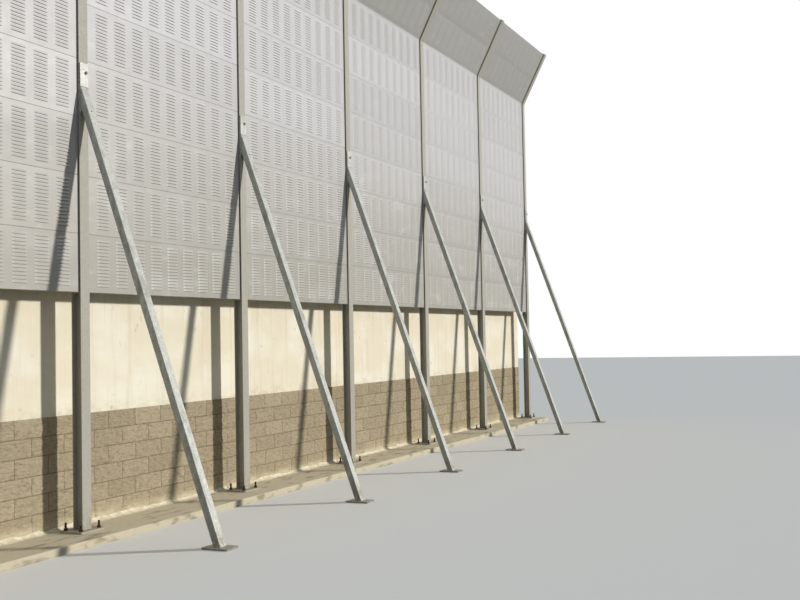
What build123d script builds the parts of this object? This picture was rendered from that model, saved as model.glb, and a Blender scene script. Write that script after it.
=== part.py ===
from build123d import *
import os
from math import cos, hypot, radians, sin, tan

os.makedirs("parts", exist_ok=True)

# Six bays of a roadside noise barrier: steel H posts with a cranked crown, stacked louvred
# panels, raking braces on the road side and a rendered masonry wall behind the open foot.
# X runs along the barrier, the road is on the -Y side and Z is up. The origin is on the
# centre line of the middle post, at ground level, on the underside of the footing beam.

# Row of bays
bay_count = 6
bay_length = 2500.0

# Footing beam that carries the posts and the wall, with an apron in front of the plates
footing_height = 60.0
footing_apron = 230.0
footing_chamfer = 6.0

# Base plates
plate_length = 300.0
plate_width = 240.0
plate_thick = 16.0
plate_corner = 6.0
anchor_hole = 22.0
anchor_edge = 38.0

# H section of the posts and the crown arms
post_width = 112.0
post_depth = 100.0
flange_thick = 8.0
web_thick = 6.0
weld_leg = 5.0

# Louvred panels
panel_module = 500.0
panel_joint = 0.5
panel_thick = 75.0
panel_end_gap = 8.0
panel_back_gap = 0.5
panel_base = 2080.0
panel_rows = 8
seam_chamfer = 2.5
tongue_width = 16.0
tongue_height = 9.0
tongue_clearance = 0.5
swage_width = 60.0
swage_depth = 4.0
swage_flank = 45.0

# Cleats inside the posts that the lowest panel stands on
cleat_thick = 8.0
cleat_setback = 5.0

# Crown
crown_tilt = 27.0
crown_rows = 2
crown_end = 4.0
bend_gap = 13.0
crown_start = 16.0

# Raking braces
brace_width = 90.0
brace_depth = 65.0
brace_wall = 4.0
brace_corner = 8.0
brace_apex = 3840.0
brace_reach = 1365.0
head_plate_width = 100.0
head_plate_thick = 10.0
head_plate_above = 205.0
head_plate_below = 30.0
head_plate_corner = 5.0
foot_plate_length = 170.0
foot_plate_width = 240.0
foot_plate_thick = 14.0
foot_plate_corner = 5.0
vent_hole = 14.0
vent_inset = 230.0

# Masonry wall
wall_gap = 160.0
plinth_height = 969.0
plinth_proud = 12.0
plinth_chamfer = 6.0
wall_thick = 240.0
wall_top = 2400.0
wall_edge = 5.0

# Derived places
post_count = bay_count + 1
flange_front = -post_depth / 2
flange_back = post_depth / 2
plate_base = footing_height
post_base = plate_base + plate_thick
panel_height = panel_module - panel_joint
panel_length = bay_length - web_thick - 2 * panel_end_gap
panel_back = flange_back - flange_thick - panel_back_gap
panel_centre = panel_back - panel_thick / 2
panel_top = panel_base + panel_rows * panel_module
row_length = bay_count * bay_length + plate_length
wall_front = flange_back + wall_gap
wall_back = wall_front + wall_thick

# The crank: posts and arms meet on the mitre plane that halves the tilt
tilt = radians(crown_tilt)
mitre_rise = post_depth / 2 * tan(tilt / 2)
elbow_front = panel_top + bend_gap
elbow_centre = elbow_front + mitre_rise
arm_length = crown_start + crown_rows * panel_module + crown_end + mitre_rise


def post_x(index: int) -> float:
    """Distance of a post's centre line from the middle of the row."""
    return (index - bay_count / 2) * bay_length


def arm_plane(x: float, along: float) -> Plane:
    """Cross-section plane of a crown arm, a given way up the arm from the elbow."""
    centre = (x, -along * sin(tilt), elbow_centre + along * cos(tilt))
    return Plane(origin=centre, x_dir=(1, 0, 0), z_dir=(0, -sin(tilt), cos(tilt)))


def mitre_plane(x: float) -> Plane:
    """Plane on which a post meets its crown arm."""
    return Plane(origin=(x, 0, elbow_centre), x_dir=(1, 0, 0), z_dir=(0, -sin(tilt / 2), cos(tilt / 2)))


def h_section(plane: Plane) -> Sketch:
    """Welded H section with a fillet weld in each corner, web across the barrier."""
    half_width = post_width / 2
    half_depth = post_depth / 2
    inner_face = half_depth - flange_thick
    with BuildSketch(plane) as section:
        with BuildLine() as outline:
            Polyline(
                (0, half_depth),
                (half_width, half_depth),
                (half_width, inner_face),
                (web_thick / 2, inner_face),
                (web_thick / 2, 0),
            )
            root = outline.vertices().sort_by_distance((web_thick / 2, inner_face))[0]
            chamfer(root, weld_leg)
            mirror(about=Plane.XZ)
            mirror(about=Plane.YZ)
        make_face()
    return section.sketch


def panel_section(plane: Plane, topmost: bool) -> Sketch:
    """Panel seen on its end: bevelled seams, a groove below, a tongue above and a ribbed back."""
    with BuildSketch(plane) as section:
        with Locations((0, panel_height / 2)):
            Rectangle(panel_thick, panel_height)
        chamfer(section.vertices(), seam_chamfer)
        with Locations((0, 0)):
            Rectangle(
                tongue_width + 2 * tongue_clearance,
                tongue_height + tongue_clearance,
                align=(Align.CENTER, Align.MIN),
                mode=Mode.SUBTRACT,
            )
        if not topmost:
            with Locations((0, panel_height)):
                Rectangle(tongue_width, tongue_height, align=(Align.CENTER, Align.MIN))
        with Locations((panel_thick / 2, panel_height / 4), (panel_thick / 2, panel_height * 3 / 4)):
            Trapezoid(
                swage_width,
                swage_depth,
                swage_flank,
                rotation=90,
                align=(Align.CENTER, Align.MIN),
                mode=Mode.SUBTRACT,
            )
    return section.sketch


# Footing beam under the plates and the wall
footing_front = -plate_width / 2 - footing_apron
with BuildPart() as footing:
    with BuildSketch(Plane.XY) as footing_outline:
        with Locations((0, (footing_front + wall_back) / 2)):
            Rectangle(row_length, wall_back - footing_front)
    extrude(amount=footing_height)
    chamfer(footing.edges().group_by(Axis.Z)[-1].sort_by(Axis.Y)[0], footing_chamfer)
footing.part.label = "footing_beam"
export_step(footing.part, "parts/footing_beam.step")

# Block plinth with a weathered top edge
with BuildPart() as plinth:
    with BuildSketch(Plane.XY.offset(footing_height)) as plinth_outline:
        with Locations((0, (wall_front + wall_back) / 2)):
            Rectangle(row_length, wall_thick)
    extrude(amount=plinth_height)
    chamfer(plinth.edges().group_by(Axis.Z)[-1].filter_by(Axis.X), plinth_chamfer)
plinth.part.label = "block_plinth"
export_step(plinth.part, "parts/block_plinth.step")

# Rendered wall that stands back from the plinth's face
with BuildPart() as wall:
    with BuildSketch(Plane.XY.offset(footing_height + plinth_height)) as wall_outline:
        with Locations((0, (wall_front + wall_back) / 2)):
            Rectangle(row_length, wall_thick - 2 * plinth_proud)
    extrude(amount=wall_top - footing_height - plinth_height)
    fillet(wall.edges().group_by(Axis.Z)[-1], wall_edge)
wall.part.label = "rendered_wall"
export_step(wall.part, "parts/rendered_wall.step")

# Posts, base plates, crown arms and braces, one set for each post line
for index in range(post_count):
    x = post_x(index)
    number = index + 1

    with BuildPart() as plate:
        with BuildSketch(Plane(origin=(x, 0, plate_base))) as plate_outline:
            Rectangle(plate_length, plate_width)
            chamfer(plate_outline.vertices(), plate_corner)
            with GridLocations(plate_length - 2 * anchor_edge, plate_width - 2 * anchor_edge, 2, 2):
                Circle(anchor_hole / 2, mode=Mode.SUBTRACT)
        extrude(amount=plate_thick)
    plate.part.label = f"base_plate_{number}"
    export_step(plate.part, f"parts/base_plate_{number}.step")

    with BuildPart() as post:
        extrude(h_section(Plane(origin=(x, 0, post_base))), amount=elbow_centre + mitre_rise - post_base)
        split(bisect_by=mitre_plane(x), keep=Keep.BOTTOM)
        with BuildSketch(Plane(origin=(x, 0, panel_base))) as cleat_outline:
            Rectangle(post_width - 2 * cleat_setback, post_depth - flange_thick)
        extrude(amount=-cleat_thick)
    post.part.label = f"post_{number}"
    export_step(post.part, f"parts/post_{number}.step")

    with BuildPart() as arm:
        extrude(h_section(arm_plane(x, -mitre_rise)), amount=mitre_rise + arm_length)
        split(bisect_by=mitre_plane(x), keep=Keep.TOP)
    arm.part.label = f"crown_arm_{number}"
    export_step(arm.part, f"parts/crown_arm_{number}.step")

    # The outer face of a brace runs from the head plate down to the foot plate
    head_y = flange_front - head_plate_thick
    foot_y = flange_front - brace_reach
    run = head_y - foot_y
    rise = brace_apex - foot_plate_thick
    slope = hypot(run, rise)
    along = Vector(0, run / slope, rise / slope)
    inward = Vector(0, rise / slope, -run / slope)
    foot_centre = Vector(x, foot_y, foot_plate_thick) + inward * (brace_depth / 2)
    overrun = brace_depth
    head_cut = brace_depth * slope / run
    foot_cut = brace_depth * slope / rise
    with BuildPart() as brace:
        with BuildSketch(Plane(origin=foot_centre - along * overrun, x_dir=(1, 0, 0), z_dir=along)) as tube:
            RectangleRounded(brace_width, brace_depth, brace_corner)
            Rectangle(brace_width - 2 * brace_wall, brace_depth - 2 * brace_wall, mode=Mode.SUBTRACT)
        extrude(amount=slope + head_cut + 2 * overrun)
        split(bisect_by=Plane(origin=(x, head_y, 0), z_dir=(0, 1, 0)), keep=Keep.BOTTOM)
        split(bisect_by=Plane.XY.offset(foot_plate_thick), keep=Keep.TOP)
        vent = Vector(x, head_y, brace_apex) - along * vent_inset
        with BuildSketch(Plane(origin=vent, x_dir=(1, 0, 0), z_dir=inward)):
            Circle(vent_hole / 2)
        extrude(amount=2 * brace_wall, mode=Mode.SUBTRACT)
        head_low = brace_apex - head_cut - head_plate_below
        head_high = brace_apex + head_plate_above
        with BuildSketch(Plane(origin=(x, flange_front, head_low), x_dir=(1, 0, 0), z_dir=(0, -1, 0))) as head:
            Rectangle(head_plate_width, head_high - head_low, align=(Align.CENTER, Align.MIN))
            chamfer(head.vertices(), head_plate_corner)
        extrude(amount=head_plate_thick)
        with BuildSketch(Plane(origin=(x, foot_y + foot_cut / 2, 0))) as foot:
            Rectangle(foot_plate_length, foot_plate_width)
            chamfer(foot.vertices(), foot_plate_corner)
        extrude(amount=foot_plate_thick)
    brace.part.label = f"brace_{number}"
    export_step(brace.part, f"parts/brace_{number}.step")

# Stacked panels, one node for each bay
for bay in range(bay_count):
    panel_x = post_x(bay) + web_thick / 2 + panel_end_gap
    number = bay + 1

    with BuildPart() as stack:
        for row in range(panel_rows):
            corner = (panel_x, panel_centre, panel_base + panel_joint + row * panel_module)
            face = Plane(origin=corner, x_dir=(0, 1, 0), z_dir=(1, 0, 0))
            extrude(panel_section(face, topmost=False), amount=panel_length)
    stack.part.label = f"bay_{number}_panels"
    export_step(stack.part, f"parts/bay_{number}_panels.step")

    with BuildPart() as crown:
        for row in range(crown_rows):
            up = crown_start + row * panel_module
            base = arm_plane(panel_x, up).from_local_coords((0, panel_centre, 0))
            face = Plane(origin=base, x_dir=(0, cos(tilt), sin(tilt)), z_dir=(1, 0, 0))
            extrude(panel_section(face, topmost=row == crown_rows - 1), amount=panel_length)
    crown.part.label = f"bay_{number}_crown_panels"
    export_step(crown.part, f"parts/bay_{number}_crown_panels.step")

# Folded closers that fill the wedge between the wall panels and the crown panels
closer_low = panel_top + panel_joint
closer_high = crown_start - panel_joint
with BuildPart() as closers:
    for bay in range(bay_count):
        panel_x = post_x(bay) + web_thick / 2 + panel_end_gap
        lower_plane = Plane(origin=(panel_x, panel_centre, closer_low), x_dir=(0, 1, 0), z_dir=(1, 0, 0))
        seat = arm_plane(panel_x, closer_high).from_local_coords((0, panel_centre, 0))
        upper_plane = Plane(origin=seat, x_dir=(0, cos(tilt), sin(tilt)), z_dir=(1, 0, 0))
        half = panel_thick / 2
        corners = [
            lower_plane.from_local_coords((-half, 0, 0)),
            lower_plane.from_local_coords((half, 0, 0)),
            upper_plane.from_local_coords((half, 0, 0)),
            upper_plane.from_local_coords((-half, 0, 0)),
        ]
        with BuildSketch(lower_plane) as wedge:
            with BuildLine():
                Polyline(*[lower_plane.to_local_coords(corner) for corner in corners], close=True)
            make_face()
            Rectangle(
                tongue_width + 2 * tongue_clearance,
                2 * (tongue_height + tongue_clearance),
                mode=Mode.SUBTRACT,
            )
        extrude(amount=panel_length)
        with BuildSketch(upper_plane) as rib:
            Rectangle(tongue_width, 2 * tongue_height)
        extrude(amount=panel_length)
closers.part.label = "bend_closers"
export_step(closers.part, "parts/bend_closers.step")
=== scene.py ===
"""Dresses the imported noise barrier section: louvres, stonework, fixings, finishes, light and camera.

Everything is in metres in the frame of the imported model: X runs along the barrier, the road is
on the -Y side and Z is up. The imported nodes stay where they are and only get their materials.
"""

from __future__ import annotations

import logging
from dataclasses import dataclass, replace
from enum import Enum

import bpy
import numpy as np
from mathutils import Matrix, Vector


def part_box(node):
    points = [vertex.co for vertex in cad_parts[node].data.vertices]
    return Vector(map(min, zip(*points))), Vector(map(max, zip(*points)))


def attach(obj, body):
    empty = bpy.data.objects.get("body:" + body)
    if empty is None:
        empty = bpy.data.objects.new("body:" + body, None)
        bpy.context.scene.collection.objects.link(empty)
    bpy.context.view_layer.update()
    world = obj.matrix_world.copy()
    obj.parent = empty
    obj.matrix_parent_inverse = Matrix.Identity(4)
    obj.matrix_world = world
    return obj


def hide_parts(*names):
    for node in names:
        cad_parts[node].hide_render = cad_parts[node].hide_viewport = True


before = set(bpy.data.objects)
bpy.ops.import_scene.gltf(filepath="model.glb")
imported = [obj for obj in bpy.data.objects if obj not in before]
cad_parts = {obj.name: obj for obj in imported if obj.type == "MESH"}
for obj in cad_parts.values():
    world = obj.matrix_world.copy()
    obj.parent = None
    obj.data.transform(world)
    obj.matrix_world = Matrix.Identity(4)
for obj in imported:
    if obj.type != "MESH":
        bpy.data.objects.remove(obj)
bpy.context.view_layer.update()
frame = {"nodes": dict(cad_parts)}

LOG = logging.getLogger("noise_barrier")
BODY = "root"
MM = 0.001

Socket = bpy.types.NodeSocket
Tree = bpy.types.NodeTree
Shape = tuple[np.ndarray, list[np.ndarray]]


class Slot(Enum):
    """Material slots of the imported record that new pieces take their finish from."""

    GALVANISED = "galvanised_steel"
    BRACE = "brace_steel"
    SHEET = "panel_sheet"
    BLOCK = "block"
    CONCRETE = "concrete"


class Facing(Enum):
    """How far a stack of louvred panels leans over the road, in degrees."""

    UPRIGHT = 0.0
    CROWN = 27.0


def linear(colour: str) -> tuple[float, float, float, float]:
    """Turns a colour into the linear values that a shader takes.

    The numbers are those of the sRGB curve.

    Args:
        colour: sRGB as six hex digits with a leading hash.

    Returns:
        Linear red, green and blue, and an alpha of 1.
    """
    srgb = [int(colour[i:i + 2], 16) / 255 for i in (1, 3, 5)]
    lit = [c / 12.92 if c <= 0.04045 else ((c + 0.055) / 1.055) ** 2.4 for c in srgb]
    return (lit[0], lit[1], lit[2], 1.0)


def add_node(tree: Tree, kind: str, inputs: dict | None = None, **settings) -> bpy.types.Node:
    """Adds a node with its settings and its inputs.

    A Mix node of colours takes its share at number 0 and its colours at 6 and 7, and gives the
    mixture at output 2.

    Args:
        tree: the node tree that gets the node.
        kind: the node's type name, without its ShaderNode prefix.
        inputs: values or output sockets, by the input's name or number.
        **settings: properties of the node itself.

    Returns:
        The new node.
    """
    node = tree.nodes.new("ShaderNode" + kind)
    for key, value in settings.items():
        setattr(node, key, value)
    for key, value in (inputs or {}).items():
        socket = node.inputs[key]
        if isinstance(value, Socket):
            tree.links.new(value, socket)
        else:
            socket.default_value = value
    return node


def value_noise(u: np.ndarray, v: np.ndarray, seed: int) -> np.ndarray:
    """Smooth random field with one bump or hollow for each whole step of u and v.

    A random number stands at each whole-number point, and between four of them the field is
    their blend with weights 3t^2 - 2t^3.

    Args:
        u: first coordinate, any shape.
        v: second coordinate, same shape.
        seed: picks the random table.

    Returns:
        Values from -1 to 1.
    """
    wide = 512
    table = np.random.default_rng(seed).uniform(-1, 1, (wide, wide))
    cell_u, cell_v = np.floor(u).astype(int), np.floor(v).astype(int)
    part_u, part_v = u - cell_u, v - cell_v
    part_u, part_v = part_u**2 * (3 - 2 * part_u), part_v**2 * (3 - 2 * part_v)

    def at(i: int, j: int) -> np.ndarray:
        """Table values at the cell's corner i, j."""
        return table[(cell_u + i) % wide, (cell_v + j) % wide]

    low = at(0, 0) * (1 - part_u) + at(1, 0) * part_u
    high = at(0, 1) * (1 - part_u) + at(1, 1) * part_u
    return low * (1 - part_v) + high * part_v


def signed_volume(points: np.ndarray, faces: list[np.ndarray]) -> float:
    """Volume inside a closed mesh, negative where its faces point inwards.

    Each face is a fan of triangles, and each triangle adds a sixth of the triple product of
    its corners.

    Args:
        points: vertices, one row each.
        faces: arrays of vertex numbers, each with faces of one corner count.

    Returns:
        The sum of the triple products over six.
    """
    total = 0.0
    for block in faces:
        for k in range(1, block.shape[1] - 1):
            a, b, c = points[block[:, 0]], points[block[:, k]], points[block[:, k + 1]]
            total += float(np.einsum("ij,ij->", a, np.cross(b, c))) / 6
    return total


def make_piece(name: str, shape: Shape, finishes: list[Finish],
               finish_of: list[np.ndarray] | None = None, sharp_degrees: float = 40.0,
               attributes: dict[str, np.ndarray] | None = None) -> bpy.types.Object:
    """Makes a mesh object whose place is in its mesh, dresses it and lets it ride on the body.

    Args:
        name: the piece's name.
        shape: vertices in metres, one row each, and arrays of vertex numbers, each with faces
            of one corner count.
        finishes: the finishes used, in material order.
        finish_of: for each array of faces, the number of each face's finish; all 0 if left out.
        sharp_degrees: edges that turn by more than this stay sharp.
        attributes: values for each vertex that the finish reads, by name.

    Returns:
        The new object.
    """
    points, faces = shape
    if signed_volume(points, faces) < 0:
        faces = [block[:, ::-1] for block in faces]
    mesh = bpy.data.meshes.new(name)
    corners = np.concatenate([block.ravel() for block in faces]).astype(np.int32)
    counts = np.concatenate([np.full(len(block), block.shape[1]) for block in faces])
    starts = np.concatenate([[0], np.cumsum(counts)[:-1]]).astype(np.int32)
    mesh.vertices.add(len(points))
    mesh.vertices.foreach_set("co", np.ascontiguousarray(points, np.float32).ravel())
    mesh.loops.add(len(corners))
    mesh.loops.foreach_set("vertex_index", corners)
    mesh.polygons.add(len(counts))
    mesh.polygons.foreach_set("loop_start", starts)
    for finish in finishes:
        mesh.materials.append(finish.material())
    if finish_of is not None:
        mesh.polygons.foreach_set("material_index", np.concatenate(finish_of).astype(np.int32))
    for key, values in (attributes or {}).items():
        mesh.attributes.new(key, "FLOAT", "POINT").data.foreach_set("value", values.astype(np.float32))
    mesh.update(calc_edges=True)
    mesh.shade_smooth()
    mesh.set_sharp_from_angle(angle=np.radians(sharp_degrees))
    piece = bpy.data.objects.new(name, mesh)
    bpy.context.scene.collection.objects.link(piece)
    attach(piece, BODY)
    LOG.info("%s: %d points, %d faces, %d triangles", name, len(points), len(counts), int((counts - 2).sum()))
    return piece


def grid_faces(rows: int, columns: int, closed: bool = False) -> np.ndarray:
    """Quads of a grid of points.

    Args:
        rows: points along the first parameter.
        columns: points along the second parameter.
        closed: whether the last column joins the first.

    Returns:
        One row of four vertex numbers for each quad.
    """
    i, j = np.meshgrid(np.arange(rows - 1), np.arange(columns if closed else columns - 1), indexing="ij")
    right = (j + 1) % columns
    quads = [i * columns + j, i * columns + right, (i + 1) * columns + right, (i + 1) * columns + j]
    return np.stack([q.ravel() for q in quads], 1)


def tube_faces(rows: int, columns: int, ring: bool) -> list[np.ndarray]:
    """Faces of a tube of closed rings of points.

    Args:
        rows: number of rings.
        columns: points in a ring.
        ring: whether the last ring joins the first; otherwise both ends are capped.

    Returns:
        Arrays of faces.
    """
    first, last = np.arange(columns), (rows - 1) * columns + np.arange(columns)
    sides = grid_faces(rows, columns, closed=True)
    if ring:
        return [sides, np.stack([last, np.roll(last, -1), np.roll(first, -1), first], 1)]
    return [sides, first[None, ::-1], last[None, :]]


def revolve(radius: np.ndarray, height: np.ndarray, turn: np.ndarray, ring: bool) -> Shape:
    """Solid of revolution: a point is (r cos a, r sin a, h) for each height h and angle a.

    Args:
        radius: radii, one row for each step of the profile and one column in all or for each angle.
        height: one column of heights.
        turn: the angles.
        ring: whether the profile closes on itself; otherwise its ends are capped.

    Returns:
        Vertices and faces of the closed solid.
    """
    radius, height, turn = np.broadcast_arrays(radius, height, turn)
    points = np.stack([radius * np.cos(turn), radius * np.sin(turn), height], -1).reshape(-1, 3)
    return points, tube_faces(*radius.shape, ring)


def repeat_shape(shape: Shape, places: np.ndarray, axes: np.ndarray) -> Shape:
    """Copies one shape to many places: a point is the place plus the shape's point turned by the axes.

    Args:
        shape: the shape's vertices and faces.
        places: one row for each copy.
        axes: three rows, the directions of the shape's own x, y and z.

    Returns:
        All vertices, and the shape's arrays of faces, copy after copy.
    """
    points, faces = shape
    every = (places[:, None, :] + (points @ axes)[None, :, :]).reshape(-1, 3)
    shift = np.arange(len(places))[:, None, None] * len(points)
    return every, [(shift + block[None]).reshape(-1, block.shape[1]) for block in faces]


def join_shapes(shapes: list[Shape]) -> Shape:
    """Puts several closed shapes into one set of points and faces.

    Args:
        shapes: points and faces of each.

    Returns:
        Points and faces of all, each shape's faces turned outwards.
    """
    points: list[np.ndarray] = []
    faces: list[np.ndarray] = []
    count = 0
    for own_points, own_faces in shapes:
        inside_out = signed_volume(own_points, own_faces) < 0
        faces += [(block[:, ::-1] if inside_out else block) + count for block in own_faces]
        points.append(own_points)
        count += len(own_points)
    return np.concatenate(points), faces


# Finishes

# Distance in blotches between two shifts of a pattern, and the shifts that keep the patterns of
# roughness and of relief apart from those of the stains.
SHIFT_STEP = 3.7
ROUGHNESS_SHIFT = 11
GRAIN_SHIFT = 20

# Values of a pattern between which the roughness goes from its lowest to its highest.
PATTERN_LOW = 0.3
PATTERN_HIGH = 0.7


def blotches(tree: Tree, place: Socket, size: tuple[float, float, float], detail: float,
             shift: int) -> Socket:
    """Soft random pattern at a real size.

    Args:
        tree: the material's nodes.
        place: coordinates in metres.
        size: one blotch along X, Y and Z in mm.
        detail: how many finer layers lie on the blotches.
        shift: moves the pattern, so that two of one size differ.

    Returns:
        A value about 0.5, mostly from 0.25 to 0.75.
    """
    scaled = add_node(tree, "Mapping", {"Vector": place, "Scale": [1 / (s * MM) for s in size],
                                        "Location": [SHIFT_STEP * shift] * 3})
    noise = add_node(tree, "TexNoise", {"Vector": scaled.outputs[0], "Scale": 1.0, "Detail": detail})
    return noise.outputs[0]


@dataclass(frozen=True)
class Stain:
    """A second colour in soft blotches over the first; tall blotches read as runs of rain.

    size is one blotch in mm along X, Y and Z, share how much of it shows at its strongest,
    onset the pattern's value where it starts and fade how far above that it is full. Where
    foot is given, the stain thins out between its two heights, in metres.
    """

    colour: str
    size: tuple[float, float, float]
    share: float
    onset: float = 0.45
    fade: float = 0.25
    detail: float = 4.0
    foot: tuple[float, float] | None = None

    def lay(self, tree: Tree, place: Socket, under: Socket, shift: int) -> Socket:
        """Lays the stain over a colour.

        Args:
            tree: the material's nodes.
            place: coordinates in metres.
            under: the colour so far.
            shift: moves the pattern.

        Returns:
            The stained colour.
        """
        pattern = blotches(tree, place, self.size, self.detail, shift)
        cover = {"Value": pattern, "From Min": self.onset, "From Max": self.onset + self.fade,
                 "To Max": self.share}
        share = add_node(tree, "MapRange", cover, interpolation_type="SMOOTHSTEP").outputs[0]
        if self.foot:
            height = add_node(tree, "SeparateXYZ", {0: place}).outputs[2]
            thinning = {"Value": height, "From Min": self.foot[0], "From Max": self.foot[1],
                        "To Min": 1.0, "To Max": 0.0}
            low = add_node(tree, "MapRange", thinning, interpolation_type="SMOOTHSTEP").outputs[0]
            share = add_node(tree, "Math", {0: share, 1: low}, operation="MULTIPLY").outputs[0]
        stained = add_node(tree, "Mix", {0: share, 6: under, 7: linear(self.colour)}, data_type="RGBA")
        return stained.outputs[2]


@dataclass(frozen=True)
class Grain:
    """Relief of a surface: size of one bump in mm along X, Y and Z, and its depth in mm."""

    size: tuple[float, float, float]
    depth: float
    detail: float = 2.0

    def press(self, tree: Tree, place: Socket, normal: Socket | None, shift: int) -> Socket:
        """Presses the grain into a surface.

        Args:
            tree: the material's nodes.
            place: coordinates in metres.
            normal: the normal so far, or nothing.
            shift: moves the pattern.

        Returns:
            The new normal.
        """
        pattern = blotches(tree, place, self.size, self.detail, shift)
        under = {"Normal": normal} if normal else {}
        return add_node(tree, "Bump", {"Height": pattern, "Distance": self.depth * MM, **under}).outputs[0]


@dataclass(frozen=True)
class Finish:
    """A surface: what it is made of, how it was made, what has settled on it and how it feels.

    uneven is how far the roughness goes up and down over patches of patch mm.
    """

    name: str
    colour: str
    roughness: float
    metallic: float = 0.0
    specular: float = 0.5
    uneven: float = 0.0
    patch: float = 200.0
    stains: tuple[Stain, ...] = ()
    grains: tuple[Grain, ...] = ()

    def material(self) -> bpy.types.Material:
        """Gives the finish's material, made the first time that it is asked for."""
        made = bpy.data.materials.get(self.name)
        if made:
            return made
        made = bpy.data.materials.new(self.name)
        made.use_nodes = True
        tree = made.node_tree
        tree.nodes.clear()
        place = add_node(tree, "TexCoord").outputs["Object"]
        dress: dict = {"Metallic": self.metallic, "Roughness": self.roughness,
                       "Specular IOR Level": self.specular}
        colour = self.ground(tree, place)
        for shift, stain in enumerate(self.stains):
            colour = stain.lay(tree, place, colour, shift)
        dress["Base Color"] = colour
        if self.uneven:
            pattern = blotches(tree, place, (self.patch,) * 3, detail=3.0, shift=ROUGHNESS_SHIFT)
            spread = {"Value": pattern, "From Min": PATTERN_LOW, "From Max": PATTERN_HIGH,
                      "To Min": self.roughness - self.uneven, "To Max": self.roughness + self.uneven}
            dress["Roughness"] = add_node(tree, "MapRange", spread).outputs[0]
        normal = None
        for shift, grain in enumerate(self.grains):
            normal = grain.press(tree, place, normal, shift + GRAIN_SHIFT)
        if normal:
            dress["Normal"] = normal
        shader = add_node(tree, "BsdfPrincipled", dress)
        add_node(tree, "OutputMaterial", {"Surface": shader.outputs[0]})
        return made

    def ground(self, tree: Tree, place: Socket) -> Socket | tuple[float, float, float, float]:
        """Colour under the stains; here one colour all over."""
        return linear(self.colour)


@dataclass(frozen=True)
class PanelCoat(Finish):
    """Coated sheet whose tone differs a little from panel to panel.

    Each panel fills a cell of length by through by rise, counted from start up, in metres.
    """

    shade: str = "#a09d97"
    spread: float = 0.30
    length: float = 2.5
    through: float = 50.0
    rise: float = 0.5
    start: float = 0.08

    def ground(self, tree: Tree, place: Socket) -> Socket:
        """One tone for each panel, picked by its bay and its row."""
        moved = add_node(tree, "VectorMath", {0: place, 1: (0.0, 0.0, self.start)}, operation="SUBTRACT")
        cell = (self.length, self.through, self.rise)
        panel = add_node(tree, "VectorMath", {0: moved.outputs[0], 1: cell}, operation="SNAP")
        pick = add_node(tree, "TexWhiteNoise", {"Vector": panel.outputs[0]})
        share = add_node(tree, "Math", {0: pick.outputs[0], 1: self.spread}, operation="MULTIPLY")
        return add_node(tree, "Mix", {0: share.outputs[0], 6: linear(self.colour), 7: linear(self.shade)},
                        data_type="RGBA").outputs[2]


@dataclass(frozen=True)
class ZincSpangle(Finish):
    """Zinc with its crystals showing, each a little lighter or darker."""

    shade: str = "#8b8d87"
    spread: float = 0.42
    crystal: float = 15.0

    def ground(self, tree: Tree, place: Socket) -> Socket:
        """One grey for each crystal."""
        scaled = add_node(tree, "Mapping", {"Vector": place, "Scale": [1 / (self.crystal * MM)] * 3})
        cells = add_node(tree, "TexVoronoi", {"Vector": scaled.outputs[0], "Scale": 1.0})
        grey = add_node(tree, "SeparateColor", {0: cells.outputs["Color"]})
        share = add_node(tree, "Math", {0: grey.outputs[0], 1: self.spread}, operation="MULTIPLY")
        return add_node(tree, "Mix", {0: share.outputs[0], 6: linear(self.colour), 7: linear(self.shade)},
                        data_type="RGBA").outputs[2]


@dataclass(frozen=True)
class BlockMix(Finish):
    """Concrete blocks, each of its own tone, in darker mortar."""

    shade: str = "#a19378"
    joint: str = "#766953"

    def ground(self, tree: Tree, place: Socket) -> Socket:
        """The tone of each block, and the joint's colour, from the plinth's own attributes."""
        tone = add_node(tree, "Attribute", attribute_name="block_tone").outputs["Fac"]
        gap = add_node(tree, "Attribute", attribute_name="joint").outputs["Fac"]
        block = add_node(tree, "Mix", {0: tone, 6: linear(self.colour), 7: linear(self.shade)},
                         data_type="RGBA")
        return add_node(tree, "Mix", {0: gap, 6: block.outputs[2], 7: linear(self.joint)},
                        data_type="RGBA").outputs[2]


# Aluminium sheet, pressed and coated in a silvery grey: satin, with slow waves from the press,
# a warm darkening low down that thins out upwards, thin rain marks and the coat's fine peel, which
# is really 2 mm and is drawn coarser to show.
SHEET = PanelCoat(
    "coated_aluminium_sheet_pressed", "#c4c3c4", roughness=0.42, metallic=0.045, specular=0.17,
    uneven=0.05, patch=260.0,
    stains=(Stain("#9a9482", (700, 700, 260), 0.62, 0.10, 0.40, foot=(2.2, 4.8)),
            Stain("#b3afa6", (60, 200, 1300), 0.35, 0.50, 0.28),
            Stain("#d9d5cc", (200, 200, 90), 0.30, 0.55)),
    grains=(Grain((520, 520, 520), 3.0, 1.0), Grain((7, 7, 7), 0.06, 1.0)))

# The same sheet where the press has drawn it into hoods, in a paler colour that is painted
# highlight for the light the hoods catch; glossier, so they catch the light from more sides, and
# darker and warmer low down, thinning out upwards.
HOOD_SHEET_PAINTED_HIGHLIGHT = replace(SHEET, name="coated_aluminium_sheet_hoods_painted_highlight", colour="#d6d5d5", shade="#bcbab7",
                     roughness=0.46, specular=0.32,
                     stains=(Stain("#9a9482", (700, 700, 260), 0.66, 0.10, 0.40, foot=(2.2, 5.2)),))

# The same sheet on the crown, a little duller, in a darker grey that is painted shade of its underside, which
# faces down, away from the light.
CROWN_SHEET_PAINTED_SHADE = replace(SHEET, name="coated_aluminium_sheet_crown_painted_shade", colour="#b2b1ad", shade="#979590",
                      roughness=0.5, metallic=0.06, specular=0.22, rise=0.4455, start=0.3125)

# Glass fleece seen through the slots, black and without any shine; the black is also painted shade of the
# dark opening under each hood.
FLEECE_AND_SLOT_SHADE = Finish("glass_fleece_black_and_painted_slot_shade", "#211f1b", roughness=1.0, specular=0.2,
                grains=(Grain((2, 2, 2), 0.3),))

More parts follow.
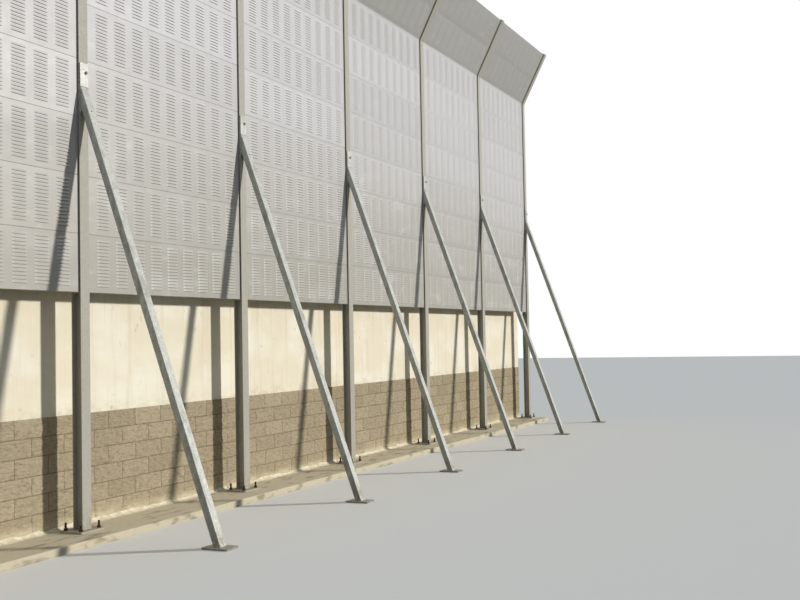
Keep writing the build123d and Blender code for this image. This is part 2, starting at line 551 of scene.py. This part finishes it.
# Hot-dip galvanised steel gone dull: even grey with faint clouds, rain runs and splashed soil.
POST_ZINC = Finish(
    "galvanised_steel_weathered", "#b3b0a3", roughness=0.62, specular=0.2, uneven=0.08, patch=40.0,
    stains=(Stain("#98958a", (26, 26, 40), 0.35, 0.48, 0.22),
            Stain("#a5a092", (20, 20, 900), 0.45, 0.50, 0.22),
            Stain("#8f7f63", (16, 16, 26), 0.55, 0.36, 0.26, 5.0, foot=(0.05, 0.32))),
    grains=(Grain((4, 4, 4), 0.10), Grain((90, 90, 220), 0.8)))

# Hot-dip galvanised tube, still fresh: crystals of many greys under a slight sheen.
BRACE_ZINC = ZincSpangle(
    "galvanised_tube_spangled", "#c8c9c1", roughness=0.45, metallic=0.1, specular=0.25,
    uneven=0.12, patch=15.0,
    stains=(Stain("#87867d", (70, 70, 180), 0.55, 0.46, 0.24),
            Stain("#dcded8", (22, 22, 60), 0.5, 0.56, 0.16),
            Stain("#85745a", (14, 14, 24), 0.65, 0.34, 0.24, 5.0, foot=(0.03, 0.24))),
    grains=(Grain((9, 9, 22), 0.15), Grain((60, 60, 160), 0.5)))

# Weld bead sprayed with zinc paint: matt and rippled.
WELD_ZINC = replace(POST_ZINC, name="weld_bead_zinc_sprayed", colour="#a9a69a", roughness=0.6)

# Cream cement render, floated by hand: sandy, cloudy, with faint rain runs and a few stains. The
# sand is really 1 to 2 mm and is drawn coarser to show.
RENDER = Finish(
    "cement_render_wood_floated", "#efe5cc", roughness=0.92, specular=0.3,
    stains=(Stain("#f7f1df", (700, 700, 420), 0.9, 0.40, 0.26, 5.0),
            Stain("#d6c9ab", (80, 80, 1300), 0.42, 0.50, 0.26),
            Stain("#cdbf9f", (15, 15, 650), 0.28, 0.57, 0.2),
            Stain("#b3a382", (90, 90, 110), 0.45, 0.64, 0.14, 6.0),
            Stain("#cbbc9b", (130, 130, 60), 0.45, 0.40, 0.3, 5.0, foot=(1.03, 1.16))),
    grains=(Grain((180, 180, 90), 2.5, 3.0), Grain((5, 5, 5), 0.5)))

# Split-face concrete block: chipped and gritty, with lime splashed up from the foot.
BLOCK = BlockMix(
    "concrete_block_split_face", "#b5a68b", roughness=0.95, specular=0.25,
    stains=(Stain("#8d7f67", (50, 50, 22), 0.55, 0.48, 0.2, 6.0),
            Stain("#c7b99d", (28, 28, 12), 0.5, 0.54, 0.16, 5.0),
            Stain("#d4c7a9", (240, 240, 70), 0.75, 0.22, 0.36, foot=(0.09, 0.175))),
    grains=(Grain((80, 80, 24), 17.0, 3.0), Grain((16, 16, 8), 3.0, 3.0)))

# Concrete cast on site and steel-trowelled: pale and dusty, with damp patches and sand.
CONCRETE = Finish(
    "concrete_steel_trowelled", "#d6cbaf", roughness=0.9, specular=0.3,
    stains=(Stain("#d6cab0", (420, 130, 130), 0.9, 0.42, 0.2, 6.0),
            Stain("#8f836b", (240, 90, 90), 0.75, 0.52, 0.18, 7.0),
            Stain("#857a64", (45, 32, 32), 0.4, 0.60, 0.14, 6.0)),
    grains=(Grain((340, 60, 60), 3.0, 3.0), Grain((5, 5, 5), 0.6)))

# Lime mortar struck by hand: almost white, sandy and lumpy.
MORTAR = replace(CONCRETE, name="lime_mortar_struck", colour="#d8ccb0", roughness=0.95,
                 stains=(Stain("#ece2ca", (60, 60, 60), 0.9, 0.42, 0.2),
                         Stain("#a99c80", (45, 45, 45), 0.6, 0.56, 0.16)),
                 grains=(Grain((30, 30, 20), 4.0, 3.0), Grain((5, 5, 5), 0.6)))

# Plain carbon steel left to rust: dark scale with orange patches.
RUST = Finish("carbon_steel_rusted", "#372a21", roughness=0.85, metallic=0.2,
              stains=(Stain("#744629", (10, 10, 10), 0.8, 0.45, 0.2, 5.0),),
              grains=(Grain((5, 5, 5), 0.5, 4.0),))


# Sub-assemblies


@dataclass(frozen=True)
class Row:
    """Sizes of the row that the pieces below share, in metres."""

    bays: int = 6
    bay_length: float = 2.5
    module: float = 0.5
    wall_rows: int = 8
    crown_rows: int = 2
    panel_base: float = 2.08
    crown_start: float = 0.016
    bend_gap: float = 0.013
    post_width: float = 0.112
    post_depth: float = 0.100
    flange: float = 0.008
    web: float = 0.006
    weld_leg: float = 0.005
    plate_top: float = 0.076
    brace_width: float = 0.090
    brace_depth: float = 0.065
    brace_apex: float = 3.84
    brace_reach: float = 1.365
    head_plate: float = 0.010
    foot_plate: float = 0.014

    def post_x(self, index: int) -> float:
        """Distance of a post's centre line from the middle of the row."""
        return (index - self.bays / 2) * self.bay_length

    def half_lean(self) -> float:
        """Angle of the mitre between post and arm, in radians."""
        return np.radians(Facing.CROWN.value) / 2

    def elbow(self) -> float:
        """Height of the point where the centre lines of post and arm meet."""
        top = self.panel_base + self.wall_rows * self.module + self.bend_gap
        return top + self.post_depth / 2 * np.tan(self.half_lean())


@dataclass(frozen=True)
class Louvres:
    """Pressed louvres: nine columns of fourteen hoods on each panel, open downwards."""

    row: Row
    columns: int = 9
    per_column: int = 14
    column_pitch: float = 0.250
    column_shift: float = 0.010
    louvre_pitch: float = 0.0298
    first_lip: float = 0.0545
    width: float = 0.166
    height: float = 0.0205
    depth: float = 0.0078
    slot_depth: float = 0.0034
    lining_rise: float = 0.0010
    slot_rise: float = 0.0045
    sink: float = 0.0003

    def hood(self) -> tuple[Shape, list[np.ndarray]]:
        """One hood, closed: its skin, its shaded lining, the slot in black fleece and painted shade, and its
        back in the sheet.

        With s from -1 to 1 across and t from 0 at the lip to 1 at the top, a point of the skin is
        x = s W/2, out = D (1 - s^8) (1 - 3t^2 + 2t^3) - sink, up = H t. The lining goes from
        the lip in to the slot, and the slot from there up into the sheet.

        Returns:
            Points as (x, out, up) with the faces, and the number of each face's finish.
        """
        s = np.array([-1.0, -0.88, -0.6, 0.6, 0.88, 1.0])
        t = np.array([0.0, 0.36, 0.68, 1.0])
        wide, rows = len(s), len(t)
        across, rise = np.meshgrid(s, t)
        bulge = 1 - across**8
        swell = self.depth * bulge * (1 - 3 * rise**2 + 2 * rise**3)
        skin = np.stack([across * self.width / 2, swell - self.sink, self.height * rise], -1).reshape(-1, 3)
        x, round_off = s[1:-1] * self.width / 2, bulge[0, 1:-1]
        lining = np.stack([x, self.slot_depth * round_off, self.lining_rise * round_off], -1)
        slot = np.stack([x, np.full(wide - 2, -self.sink), self.slot_rise * round_off], -1)
        points = np.concatenate([skin, lining, slot])
        lip = np.arange(wide)
        middle = rows * wide + np.arange(wide - 2)
        root = middle + wide - 2
        inner = lip[1:-1]
        lining_faces = np.stack([middle[:-1], middle[1:], inner[1:], inner[:-1]], 1)
        slot_faces = np.stack([root[:-1], root[1:], middle[1:], middle[:-1]], 1)
        ends = np.array([[lip[0], middle[0], inner[0]], [inner[-1], middle[-1], lip[-1]]])
        slot_ends = np.array([[lip[0], root[0], middle[0]], [middle[-1], root[-1], lip[-1]]])
        top = (rows - 1) * wide + inner
        left = np.append(np.arange(rows) * wide, top[0])
        right = np.append(np.arange(rows) * wide + wide - 1, top[-1])
        back = np.stack([root[:-1], top[:-1], top[1:], root[1:]], 1)
        back_left = np.stack([np.full(rows, root[0]), left[:-1], left[1:]], 1)
        back_right = np.stack([np.full(rows, root[-1]), right[1:], right[:-1]], 1)
        sheet = [grid_faces(rows, wide), lining_faces, ends, back, back_left, back_right]
        # The slot's faces take the black fleece finish, which is also painted shade of the opening under the
        # hood.
        fleece_and_shade = [slot_faces, slot_ends]
        finish = [np.zeros(len(block)) for block in sheet] + [np.ones(len(block)) for block in fleece_and_shade]
        return (points, sheet + fleece_and_shade), finish

    def build(self, bay: int, facing: Facing) -> None:
        """Makes the louvres of one stack.

        A hood's place is the panel's face, plus its column along X and its lip's distance up the stack.

        Args:
            bay: the bay's number, from 1.
            facing: whether the stack is the wall or the crown.
        """
        lean = np.radians(facing.value)
        along = np.array([1.0, 0.0, 0.0])
        up = np.array([0.0, -np.sin(lean), np.cos(lean)])
        out = np.array([0.0, -np.cos(lean), -np.sin(lean)])
        low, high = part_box(f"bay_{bay}_panels")
        face, crown = -low.y, facing is Facing.CROWN
        rows = self.row.crown_rows if crown else self.row.wall_rows
        if crown:
            origin = np.array([0.0, 0.0, self.row.elbow()]) + self.row.crown_start * up + face * out
        else:
            origin = np.array([0.0, -face, self.row.panel_base])
        across = (np.arange(self.columns) - (self.columns - 1) / 2) * self.column_pitch
        across += (low.x + high.x) / 2 + self.column_shift
        lips = np.arange(rows)[:, None] * self.row.module + self.first_lip
        lips = (lips + np.arange(self.per_column) * self.louvre_pitch).ravel()
        x, climb = np.meshgrid(across, lips)
        places = origin + x.reshape(-1, 1) * along + climb.reshape(-1, 1) * up
        hood, finish = self.hood()
        shape = repeat_shape(hood, places, np.stack([along, out, up]))
        # The crown's darker sheet is painted shade; the hoods' paler sheet is painted highlight.
        sheet = CROWN_SHEET_PAINTED_SHADE if crown else HOOD_SHEET_PAINTED_HIGHLIGHT
        make_piece(f"bay_{bay}_{'crown_' if crown else ''}louvres", shape, [sheet, FLEECE_AND_SLOT_SHADE],
                   [np.tile(f, len(places)) for f in finish], sharp_degrees=50)


@dataclass(frozen=True)
class BlockPlinth:
    """Split-face blocks in running bond with struck joints, in place of the plain solid.

    Sizes are in metres. A ridge is a random field: its length along X and Z, seed and share.
    scatter steps through the random table, so that neighbouring blocks differ in tone.
    """

    block: float = 0.3858
    course: float = 0.1586
    courses: int = 6
    first_joint: float = -0.1510
    joint_half: float = 0.0030
    bevel: float = 0.0035
    joint_depth: float = 0.0065
    relief: float = 0.0110
    step_x: float = 0.038
    step_z: float = 0.0186
    top_ease: float = 0.004
    ridges: tuple[tuple[float, float, int, float], ...] = ((0.085, 0.034, 3, 0.55), (0.040, 0.020, 4, 0.45))
    scatter: tuple[float, float, float] = (7.31, 3.17, 5.3)
    tone_seed: int = 9
    joint_share: float = 0.8

    def lines(self, low: float, high: float, joints: np.ndarray, step: float) -> np.ndarray:
        """Grid lines that hug each joint and fill the rest in even steps.

        Args:
            low: first line.
            high: last line.
            joints: where the joints are.
            step: widest gap between lines.

        Returns:
            Rising line positions.
        """
        hug = np.array([-1, 1]) * self.joint_half
        near = (joints[:, None] + np.concatenate([hug, hug + np.sign(hug) * self.bevel])[None]).ravel()
        fixed = np.sort(near[(near > low + self.bevel) & (near < high - self.bevel)])
        fixed = np.concatenate([[low], fixed, [high]])
        spans = [np.linspace(a, b, max(1, int(np.ceil((b - a) / step))) + 1)[:-1]
                 for a, b in zip(fixed, fixed[1:])]
        return np.concatenate(spans + [[high]])

    def build(self) -> None:
        """Makes the plinth.

        How far a point lies back from the face is the joint's depth times the groove, which is 1
        within a joint and falls to 0 over the bevel, plus on the blocks the relief times a random
        field of flat ridges. Front and back are alike, and strips close the edges.
        """
        low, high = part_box("block_plinth")
        half = self.block / 2
        first = np.ceil((low.x - self.first_joint) / half) * half + self.first_joint
        upright = np.arange(first, high.x, half)
        level = high.z - np.arange(1, self.courses + 1) * self.course
        x, z = np.meshgrid(self.lines(low.x, high.x, upright, self.step_x),
                           self.lines(low.z, high.z, level[::-1], self.step_z))
        number = np.clip(np.floor((high.z - z) / self.course), 0, self.courses - 1)
        along = (x - self.first_joint) / self.block - 0.5 * (number % 2)
        to_upright = np.abs(along - np.round(along)) * self.block
        to_level = np.abs(z[..., None] - level).min(-1)
        near = np.minimum(to_upright, to_level)
        groove = np.clip((self.joint_half + self.bevel - near) / self.bevel, 0, 1)
        ridge = sum(value_noise(x / wide, z / tall, seed) * share for wide, tall, seed, share in self.ridges)
        back = self.joint_depth * groove + self.relief * (1 - groove) * (0.5 + 0.5 * ridge)
        back[-1] += self.top_ease
        rows, columns = x.shape
        front = np.stack([x, low.y + back, z], -1).reshape(-1, 3)
        rear = np.stack([x, high.y - back, z], -1).reshape(-1, 3)
        skin, count = grid_faces(rows, columns), rows * columns
        grid = np.arange(count).reshape(rows, columns)
        rims = [np.stack([rim[:-1] + count, rim[1:] + count, rim[1:], rim[:-1]], 1)
                for rim in (grid[0], grid[:, -1], grid[-1][::-1], grid[:, 0][::-1])]
        per_block, per_course, across = self.scatter
        pick = value_noise(np.floor(along) * per_block + number * per_course, number * across, self.tone_seed)
        attributes = {"block_tone": np.tile((pick * 0.5 + 0.5).ravel(), 2),
                      "joint": np.tile(groove.ravel(), 2) * self.joint_share}
        shape = np.concatenate([front, rear]), [skin, skin[:, ::-1] + count] + rims
        piece = make_piece("block_plinth_split_face", shape, [BLOCK], sharp_degrees=60,
                           attributes=attributes)
        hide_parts("block_plinth")


@dataclass(frozen=True)
class FootMortar:
    """Mortar struck by hand into the corner between the wall and the concrete beam.

    Sizes are in metres. A slow and a quick random field swell it, each with its share and length.
    """

    out: float = 0.042
    up: float = 0.030
    key: float = 0.010
    lap: float = 0.004
    hollow: float = 1.6
    slow_share: float = 0.35
    slow_length: float = 0.13
    quick_share: float = 0.12
    quick_length: float = 0.04
    step: float = 0.020
    sides: int = 6

    def build(self) -> None:
        """Makes the strip.

        Its section is a hollow curve, out (1 - a)^h along the beam and up a^h up the wall for a from
        0 to 1, with h the hollow, times the swell, which changes along the row.
        """
        low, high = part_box("block_plinth")
        count = int((high.x - low.x) / self.step) + 1
        x, a = np.meshgrid(np.linspace(low.x + MM, high.x - MM, count), np.linspace(0, 1, self.sides),
                           indexing="ij")
        slow = self.slow_share * value_noise(x / self.slow_length, a * 0, seed=21)
        quick = self.quick_share * value_noise(x / self.quick_length, a * 3, seed=22)
        swell = 1 + slow + quick
        y = low.y + self.lap - self.out * swell * (1 - a) ** self.hollow
        z = low.z + self.up * swell * a**self.hollow
        wall = np.full(count, low.y + self.key)
        top = np.stack([x[:, 0], wall, z[:, -1]], -1)
        corner = np.stack([x[:, 0], wall, np.full(count, low.z)], -1)
        section = np.concatenate([np.stack([x, y, z], -1), top[:, None], corner[:, None]], 1)
        shape = section.reshape(-1, 3), tube_faces(count, section.shape[1], ring=False)
        make_piece("foot_mortar", shape, [MORTAR], sharp_degrees=60)


@dataclass(frozen=True)
class Fastener:
    """Stud with hexagon nut and washer, in metres; M20 unless the sizes say otherwise.

    tip, nut_bore and washer_bore are shares of the stud's radius, corner_circle is a share of half
    the nut's width, and rings is the rings of points for each turn of the thread.
    """

    stud: float = 0.010
    nut_across: float = 0.030
    nut_height: float = 0.016
    washer: float = 0.0185
    washer_thick: float = 0.003
    washer_ease: float = 0.0006
    pitch: float = 0.0025
    thread: float = 0.0013
    tip: float = 0.82
    nut_bore: float = 0.9
    washer_bore: float = 0.95
    corner_circle: float = 1.02
    rings: float = 2.4
    sides: int = 24

    def stud_shape(self, low: float, high: float) -> Shape:
        """Threaded rod: the radius falls by a triangle wave whose phase follows height and angle.

        Args:
            low: where the rod starts.
            high: where it ends.

        Returns:
            Points and faces.
        """
        turn = np.linspace(0, 2 * np.pi, self.sides // 2, endpoint=False)
        steps = int((high - low) / self.pitch * self.rings) + 2
        level = np.linspace(low, high, steps)[:, None]
        phase = level / self.pitch - turn / (2 * np.pi)
        radius = self.stud - self.thread * np.abs(2 * (phase - np.floor(phase)) - 1)
        radius[[0, -1]] = self.stud * self.tip
        return revolve(radius, level, turn, ring=False)

    def nut_shape(self, low: float) -> Shape:
        """Hexagon whose corners are turned off by a circle over a tenth of its height at each face."""
        turn = np.linspace(0, 2 * np.pi, self.sides, endpoint=False)
        hexagon = self.nut_across / 2 / np.cos((turn + np.pi / 6) % (np.pi / 3) - np.pi / 6)
        rounded = np.minimum(hexagon, self.nut_across / 2 * self.corner_circle)
        bore = np.full_like(turn, self.stud * self.nut_bore)
        cut = self.nut_height / 10
        height = low + np.array([0, 0, cut, self.nut_height - cut, self.nut_height, self.nut_height])
        profile = np.stack([bore, rounded, hexagon, hexagon, rounded, bore])
        return revolve(profile, height[:, None], turn, ring=True)

    def washer_shape(self, low: float) -> Shape:
        """Flat ring out to the washer's radius, its edges eased over a fifth of the thickness."""
        turn = np.linspace(0, 2 * np.pi, self.sides, endpoint=False)
        bore, eased = self.stud * self.washer_bore, self.washer - self.washer_ease
        profile = np.array([bore, eased, self.washer, self.washer, eased, bore])
        height = low + self.washer_thick * np.array([0, 0, 0.2, 0.8, 1, 1])
        return revolve(profile[:, None], height[:, None], turn, ring=True)

    def stack(self, place: np.ndarray, axes: np.ndarray, root: float, reach: float) -> list[Shape]:
        """Washer, nut and stud on one face.

        Args:
            place: where the stud comes out of the face.
            axes: rows that turn the stack, the last along the stud.
            root: how far the stud goes into the face.
            reach: how far it stands out.

        Returns:
            The three shapes.
        """
        shapes = self.washer_shape(0.0), self.nut_shape(self.washer_thick), self.stud_shape(-root, reach)
        return [(place + points @ axes, faces) for points, faces in shapes]


@dataclass(frozen=True)
class PostFixings:
    """Anchor bolts, head bolt and weld beads of one post line, in metres and radians."""

    row: Row
    index: int
    anchor_x: float = 0.112
    anchor_y: float = 0.082
    anchor_root: float = 0.012
    anchor_reach: float = 0.058
    reach_step: float = 0.004
    turn_by_post: float = 0.7
    turn_by_bolt: float = 1.3
    head_bolt_x: float = 0.022
    head_bolt_z: float = 3.965
    bead: float = 0.0038
    bead_sides: int = 6
    ripple: float = 0.004
    ripple_share: float = 0.16
    ripple_phase: float = 2.1

    def anchors(self) -> None:
        """Makes the four anchor bolts; reach, by up to two steps, and turn differ as they do on site."""
        anchor, shapes = Fastener(), []
        for k, (side_x, side_y) in enumerate(((-1, -1), (1, -1), (1, 1), (-1, 1))):
            place = np.array([self.row.post_x(self.index) + side_x * self.anchor_x, side_y * self.anchor_y,
                              self.row.plate_top])
            turn = self.turn_by_post * self.index + self.turn_by_bolt * k
            axes = np.array([[np.cos(turn), np.sin(turn), 0], [-np.sin(turn), np.cos(turn), 0], [0, 0, 1.0]])
            reach = self.anchor_reach + self.reach_step * ((self.index * 5 + k * 3) % 5 - 2)
            shapes += anchor.stack(place, axes, self.anchor_root, reach)
        make_piece(f"anchor_bolts_{self.index + 1}", join_shapes(shapes), [RUST],
                   sharp_degrees=35)

    def head_bolt(self) -> None:
        """Makes the M16 bolt through head plate and flange, with a nut at either end."""
        bolt = Fastener(stud=0.008, nut_across=0.024, nut_height=0.010, washer=0.015, pitch=0.002)
        x, half = self.row.post_x(self.index) + self.head_bolt_x, self.row.post_depth / 2
        outward = np.array([[1.0, 0, 0], [0, 0, 1.0], [0, -1.0, 0]])
        inward = np.array([[1.0, 0, 0], [0, 0, -1.0], [0, 1.0, 0]])
        front = np.array([x, -half - self.row.head_plate, self.head_bolt_z])
        behind = np.array([x, -half + self.row.flange, self.head_bolt_z])
        shapes = bolt.stack(front, outward, root=0.006, reach=0.016)
        shapes += bolt.stack(behind, inward, root=0.006, reach=0.022)
        make_piece(f"head_bolt_{self.index + 1}", join_shapes(shapes), [WELD_ZINC],
                   sharp_degrees=35)

    def h_outline(self) -> np.ndarray:
        """Corners of the post's H section, going round it, as (x, y)."""
        half_w, half_d = self.row.post_width / 2, self.row.post_depth / 2
        inner, web, leg = half_d - self.row.flange, self.row.web / 2, self.row.weld_leg
        quarter = np.array([[half_w, half_d], [half_w, inner], [web + leg, inner], [web, inner - leg]])
        right = np.concatenate([quarter, quarter[::-1] * [1, -1]])
        return np.concatenate([right, right[::-1] * [-1, 1]])

    def bead_shape(self, corners: np.ndarray, out: np.ndarray) -> Shape:
        """Weld bead: a tube round a closed path, its radius rippling from one ring to the next.

        Args:
            corners: the path's corners.
            out: direction that stands square on the path's plane.

        Returns:
            Points and faces.
        """
        after = np.roll(corners, -1, 0)
        length = np.linalg.norm(after - corners, axis=1)
        path = np.concatenate([np.linspace(a, b, max(2, int(s / self.ripple)), endpoint=False)
                               for a, b, s in zip(corners, after, length)])
        ahead = np.roll(path, -1, 0) - np.roll(path, 1, 0)
        ahead /= np.linalg.norm(ahead, axis=1)[:, None]
        side = np.cross(ahead, out)
        side /= np.linalg.norm(side, axis=1)[:, None]
        angle = np.linspace(0, 2 * np.pi, self.bead_sides, endpoint=False)
        wave = np.sin(np.arange(len(path)) * self.ripple_phase)
        swell = self.bead * (1 + self.ripple_share * wave)[:, None, None]
        ring = side[:, None] * np.cos(angle)[None, :, None] + out[None, None] * np.sin(angle)[None, :, None]
        points = path[:, None] + ring * swell
        return points.reshape(-1, 3), tube_faces(*points.shape[:2], ring=True)

    def welds(self) -> None:
        """Makes the beads round the post's foot, the mitre at the elbow and both ends of the brace."""
        row, x, outline = self.row, self.row.post_x(self.index), self.h_outline()
        foot = np.column_stack([outline[:, 0] + x, outline[:, 1], np.full(len(outline), row.plate_top)])
        rise = row.elbow() + outline[:, 1] * np.tan(row.half_lean())
        mitre = np.column_stack([outline[:, 0] + x, outline[:, 1], rise])
        run, fall = row.brace_reach - row.head_plate, row.brace_apex - row.foot_plate
        slope, left, right = np.hypot(run, fall), x - row.brace_width / 2, x + row.brace_width / 2
        head_y = -row.post_depth / 2 - row.head_plate
        foot_y = -row.post_depth / 2 - row.brace_reach
        head_low = row.brace_apex - row.brace_depth * slope / run
        foot_in = foot_y + row.brace_depth * slope / fall
        across = [left, right, right, left]
        climb = [head_low, head_low, row.brace_apex, row.brace_apex]
        head = np.column_stack([across, np.full(4, head_y), climb])
        shoe = np.column_stack([across, [foot_y, foot_y, foot_in, foot_in], np.full(4, row.foot_plate)])
        across_mitre = np.array([0.0, -np.sin(row.half_lean()), np.cos(row.half_lean())])
        up, road = np.array([0.0, 0, 1.0]), np.array([0.0, -1.0, 0])
        shapes = [self.bead_shape(foot, up), self.bead_shape(mitre, across_mitre),
                  self.bead_shape(head, road), self.bead_shape(shoe, up)]
        make_piece(f"weld_beads_{self.index + 1}", join_shapes(shapes), [WELD_ZINC],
                   sharp_degrees=70)


@dataclass(frozen=True)
class Dressing:
    """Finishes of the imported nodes, each after the word that its nodes' names hold."""

    # The crown panels take the crown sheet, whose darker colour is painted shade.
    finishes: tuple[tuple[str, Finish], ...] = (
        ("brace", BRACE_ZINC), ("post", POST_ZINC), ("crown_arm", POST_ZINC), ("base_plate", POST_ZINC),
        ("crown_panels", CROWN_SHEET_PAINTED_SHADE), ("footing_beam", CONCRETE), ("block_plinth", BLOCK),
        ("rendered_wall", RENDER), ("panels", SHEET), ("bend_closers", SHEET))

    def apply(self, nodes: dict[str, bpy.types.Object]) -> None:
        """Gives each node the first finish whose word is in its name.

        Args:
            nodes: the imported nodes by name.
        """
        for name, node in nodes.items():
            finish = next(finish for word, finish in self.finishes if word in name)
            node.data.materials.clear()
            node.data.materials.append(finish.material())
        LOG.info("%d packed nodes dressed", len(nodes))


# Camera, light and floor


@dataclass(frozen=True)
class Viewpoint:
    """The camera: place and far limit in metres, angles in degrees, lens and sensor in millimetres."""

    place: tuple[float, float, float] = (-12.182, -6.220, 1.650)
    yaw: float = 24.234
    pitch: float = 1.983
    roll: float = -1.070
    lens: float = 48.06
    sensor: float = 36.0
    far: float = 300.0

    def build(self) -> None:
        """Makes the camera, looking from +X towards +Y by the yaw and up by the pitch."""
        yaw, pitch, roll = np.radians([self.yaw, self.pitch, self.roll])
        ahead = np.array([np.cos(yaw) * np.cos(pitch), np.sin(yaw) * np.cos(pitch), np.sin(pitch)])
        right = np.array([np.sin(yaw), -np.cos(yaw), 0.0])
        above = np.cross(right, ahead)
        matrix = np.eye(4)
        matrix[:3, 0] = np.cos(roll) * right + np.sin(roll) * above
        matrix[:3, 1] = np.cos(roll) * above - np.sin(roll) * right
        matrix[:3, 2], matrix[:3, 3] = -ahead, self.place
        data = bpy.data.cameras.new("viewpoint")
        data.lens, data.sensor_width, data.clip_end = self.lens, self.sensor, self.far
        camera = bpy.data.objects.new("viewpoint", data)
        camera.matrix_world = Matrix(matrix.tolist())
        bpy.context.scene.collection.objects.link(camera)
        bpy.context.scene.camera = camera


@dataclass(frozen=True)
class Studio:
    """Plain pale floor, one soft key lamp from the road side and an even sky."""

    key_towards: tuple[float, float, float] = (-0.68, 1.0, -0.30)
    key_power: float = 3.05
    key_spread: float = 3.5
    key_colour: tuple[float, float, float] = (1.0, 0.972, 0.925)
    sky_power: float = 0.38
    sky_colour: tuple[float, float, float, float] = (0.78, 0.89, 1.0, 1.0)
    floor_half: float = 60.0
    floor_seen: str = "#f4f2ee"
    floor_lit: str = "#77746e"

    def build(self) -> None:
        """Makes the floor, the lamp and the world."""
        self.floor()
        lamp = bpy.data.lights.new("key", "SUN")
        lamp.energy, lamp.angle, lamp.color = self.key_power, np.radians(self.key_spread), self.key_colour
        key = bpy.data.objects.new("key", lamp)
        towards = np.array(self.key_towards) / np.linalg.norm(self.key_towards)
        side = np.cross([0.0, 0.0, 1.0], -towards)
        side /= np.linalg.norm(side)
        matrix = np.eye(4)
        matrix[:3, 0], matrix[:3, 1], matrix[:3, 2] = side, np.cross(-towards, side), -towards
        key.matrix_world = Matrix(matrix.tolist())
        bpy.context.scene.collection.objects.link(key)
        self.sky()
        bpy.context.scene.view_settings.view_transform = "Standard"

    def floor(self) -> None:
        """Makes the floor; what the camera sees of it is paler than what it throws back at the part."""
        half = self.floor_half
        corners = [(-half, -half), (half, -half), (half, half), (-half, half)]
        mesh = bpy.data.meshes.new("floor")
        mesh.from_pydata([(x, y, -MM) for x, y in corners], [], [(0, 1, 2, 3)])
        material = bpy.data.materials.new("floor_paint_matt")
        material.use_nodes = True
        tree = material.node_tree
        tree.nodes.clear()
        path = add_node(tree, "LightPath")
        tone = add_node(tree, "Mix", {0: path.outputs["Is Camera Ray"], 6: linear(self.floor_lit),
                                      7: linear(self.floor_seen)}, data_type="RGBA")
        paint = add_node(tree, "BsdfDiffuse", {"Color": tone.outputs[2]})
        add_node(tree, "OutputMaterial", {"Surface": paint.outputs[0]})
        mesh.materials.append(material)
        floor = bpy.data.objects.new("floor", mesh)
        bpy.context.scene.collection.objects.link(floor)

    def sky(self) -> None:
        """Makes an even pale sky; camera, glossy and see-through rays meet plain white instead."""
        world = bpy.data.worlds.new("studio")
        world.use_nodes = True
        tree = world.node_tree
        tree.nodes.clear()
        path = add_node(tree, "LightPath")
        seen = add_node(tree, "Math", {0: path.outputs["Is Camera Ray"], 1: path.outputs["Is Glossy Ray"]},
                        operation="MAXIMUM")
        seen = add_node(tree, "Math", {0: seen.outputs[0], 1: path.outputs["Is Transmission Ray"]},
                        operation="MAXIMUM")
        light = add_node(tree, "Background", {"Color": self.sky_colour, "Strength": self.sky_power})
        white = add_node(tree, "Background", {"Color": (1.0, 1.0, 1.0, 1.0), "Strength": 1.0})
        mixed = add_node(tree, "MixShader", {0: seen.outputs[0], 1: light.outputs[0], 2: white.outputs[0]})
        add_node(tree, "OutputWorld", {"Surface": mixed.outputs[0]})
        bpy.context.scene.world = world


def main() -> None:
    logging.basicConfig(level=logging.INFO, format="%(name)s: %(message)s")
    row = Row()
    Viewpoint().build()
    Studio().build()
    Dressing().apply(frame["nodes"])
    for bay in range(1, row.bays + 1):
        for facing in Facing:
            Louvres(row).build(bay, facing)
    BlockPlinth().build()
    FootMortar().build()
    for index in range(row.bays + 1):
        fixings = PostFixings(row, index)
        fixings.anchors()
        fixings.head_bolt()
        fixings.welds()


if __name__ == "__main__":
    main()
